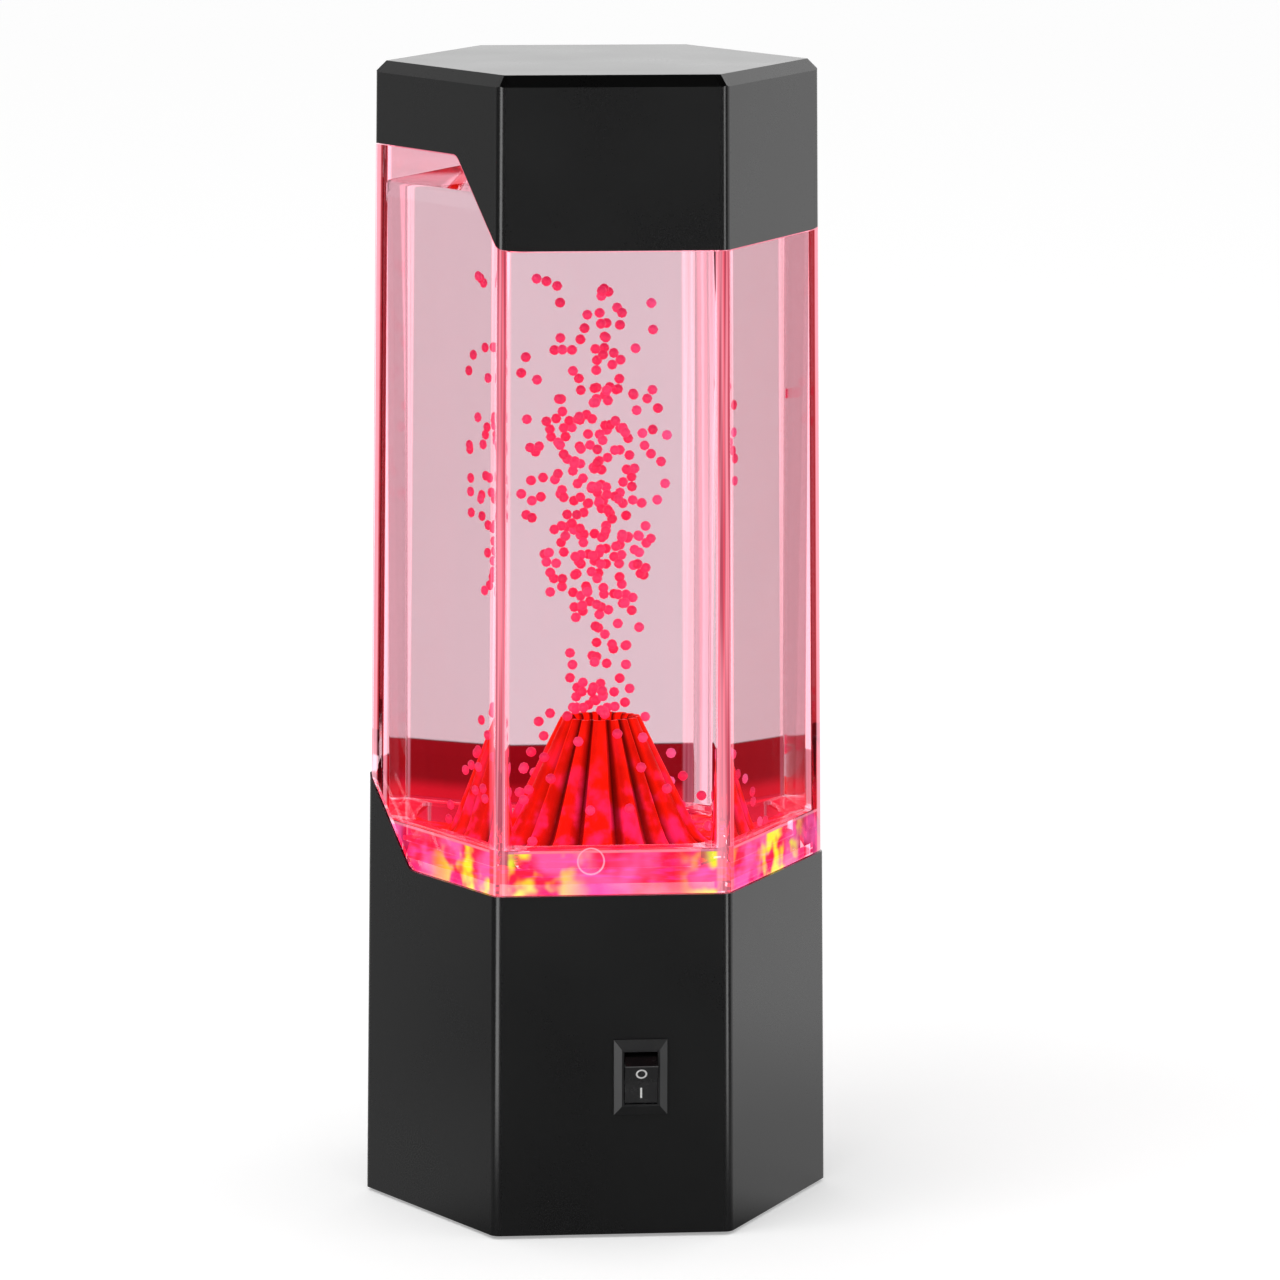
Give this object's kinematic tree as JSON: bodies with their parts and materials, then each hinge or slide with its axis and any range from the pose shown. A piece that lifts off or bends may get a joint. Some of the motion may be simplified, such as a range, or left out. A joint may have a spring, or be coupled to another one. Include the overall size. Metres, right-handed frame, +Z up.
{
  "type": "decorative led lamp",
  "caption": "Hexagonal volcano lamp: black base with a rocker switch, clear water tank with a red fluted cone and floating beads, black lift-off cap.",
  "frame": {"origin": "middle of the base, level with the soles of its rubber feet", "axes": "+Z up along the tank's axis, -Y out of the front wall with the switch, +X to the right seen from the front"},
  "size_m": [0.131, 0.1198, 0.3221],
  "materials": {
    "black_plastic": "satin moulded",
    "clear_plastic": "polished clear",
    "water": "clear liquid",
    "cone_red": "translucent moulded",
    "bead_red": "translucent",
    "diffuser": "frosted",
    "rubber": "matte",
    "steel": "zinc plated",
    "brass": "plain",
    "magnet": "nickel plated",
    "board": "solder mask",
    "board_parts": "moulded",
    "led": "clear lens",
    "inner_plastic": "moulded",
    "switch_plastic": "semi gloss"
  },
  "bodies": {
    "lamp": {"base_housing": "black_plastic", "board_parts": "board_parts", "board_screws": "steel", "bottom_cover": "black_plastic", "control_board": "board", "cover_screws": "steel", "deck_plate": "inner_plastic", "deck_screws": "steel", "impeller_pin": "steel", "lava_beads": "bead_red", "led_board": "board", "led_screws": "steel", "leds": "led", "light_diffuser": "diffuser", "motor_can": "steel", "motor_end_cap": "inner_plastic", "motor_screws": "steel", "motor_terminals": "brass", "power_socket": "switch_plastic", "rubber_feet": "rubber", "socket_lugs": "brass", "socket_nut": "steel", "socket_pin": "brass", "switch_body": "switch_plastic", "switch_terminals": "brass", "tank": "clear_plastic", "tank_gasket": "rubber", "volcano_cone": "cone_red", "water": "water"},
    "rocker": {"switch_rocker": "switch_plastic"},
    "drive_rotor": {"motor_shaft": "steel", "magnet_holder": "inner_plastic", "drive_magnets": "magnet"},
    "impeller": {"impeller": "inner_plastic", "impeller_magnets": "magnet"},
    "cap": {"cap_shell": "black_plastic", "lid_plate": "inner_plastic", "lid_seal": "rubber", "lid_screws": "steel"}
  },
  "joints": [
    {"name": "rocker_tilt", "type": "hinge", "parent": "lamp", "child": "rocker", "pos_m": [0.0077, -0.05451, 0.04568], "axis": [-1, 0, 0], "range_deg": [0, 25]},
    {"name": "drive_spin", "type": "hinge", "parent": "lamp", "child": "drive_rotor", "pos_m": [0, 0, 0.1], "axis": [0, 0, 1], "continuous": true},
    {"name": "impeller_spin", "type": "hinge", "parent": "lamp", "child": "impeller", "pos_m": [0, 0, 0.112], "axis": [0, 0, 1], "continuous": true},
    {"name": "cap_lift", "type": "slide", "parent": "lamp", "child": "cap", "axis": [0, 0, 1], "range_m": [0, 0.06]}
  ],
  "couplings": [
    {"joint": "impeller_spin", "follows": "drive_spin", "ratio": 1}
  ]
}
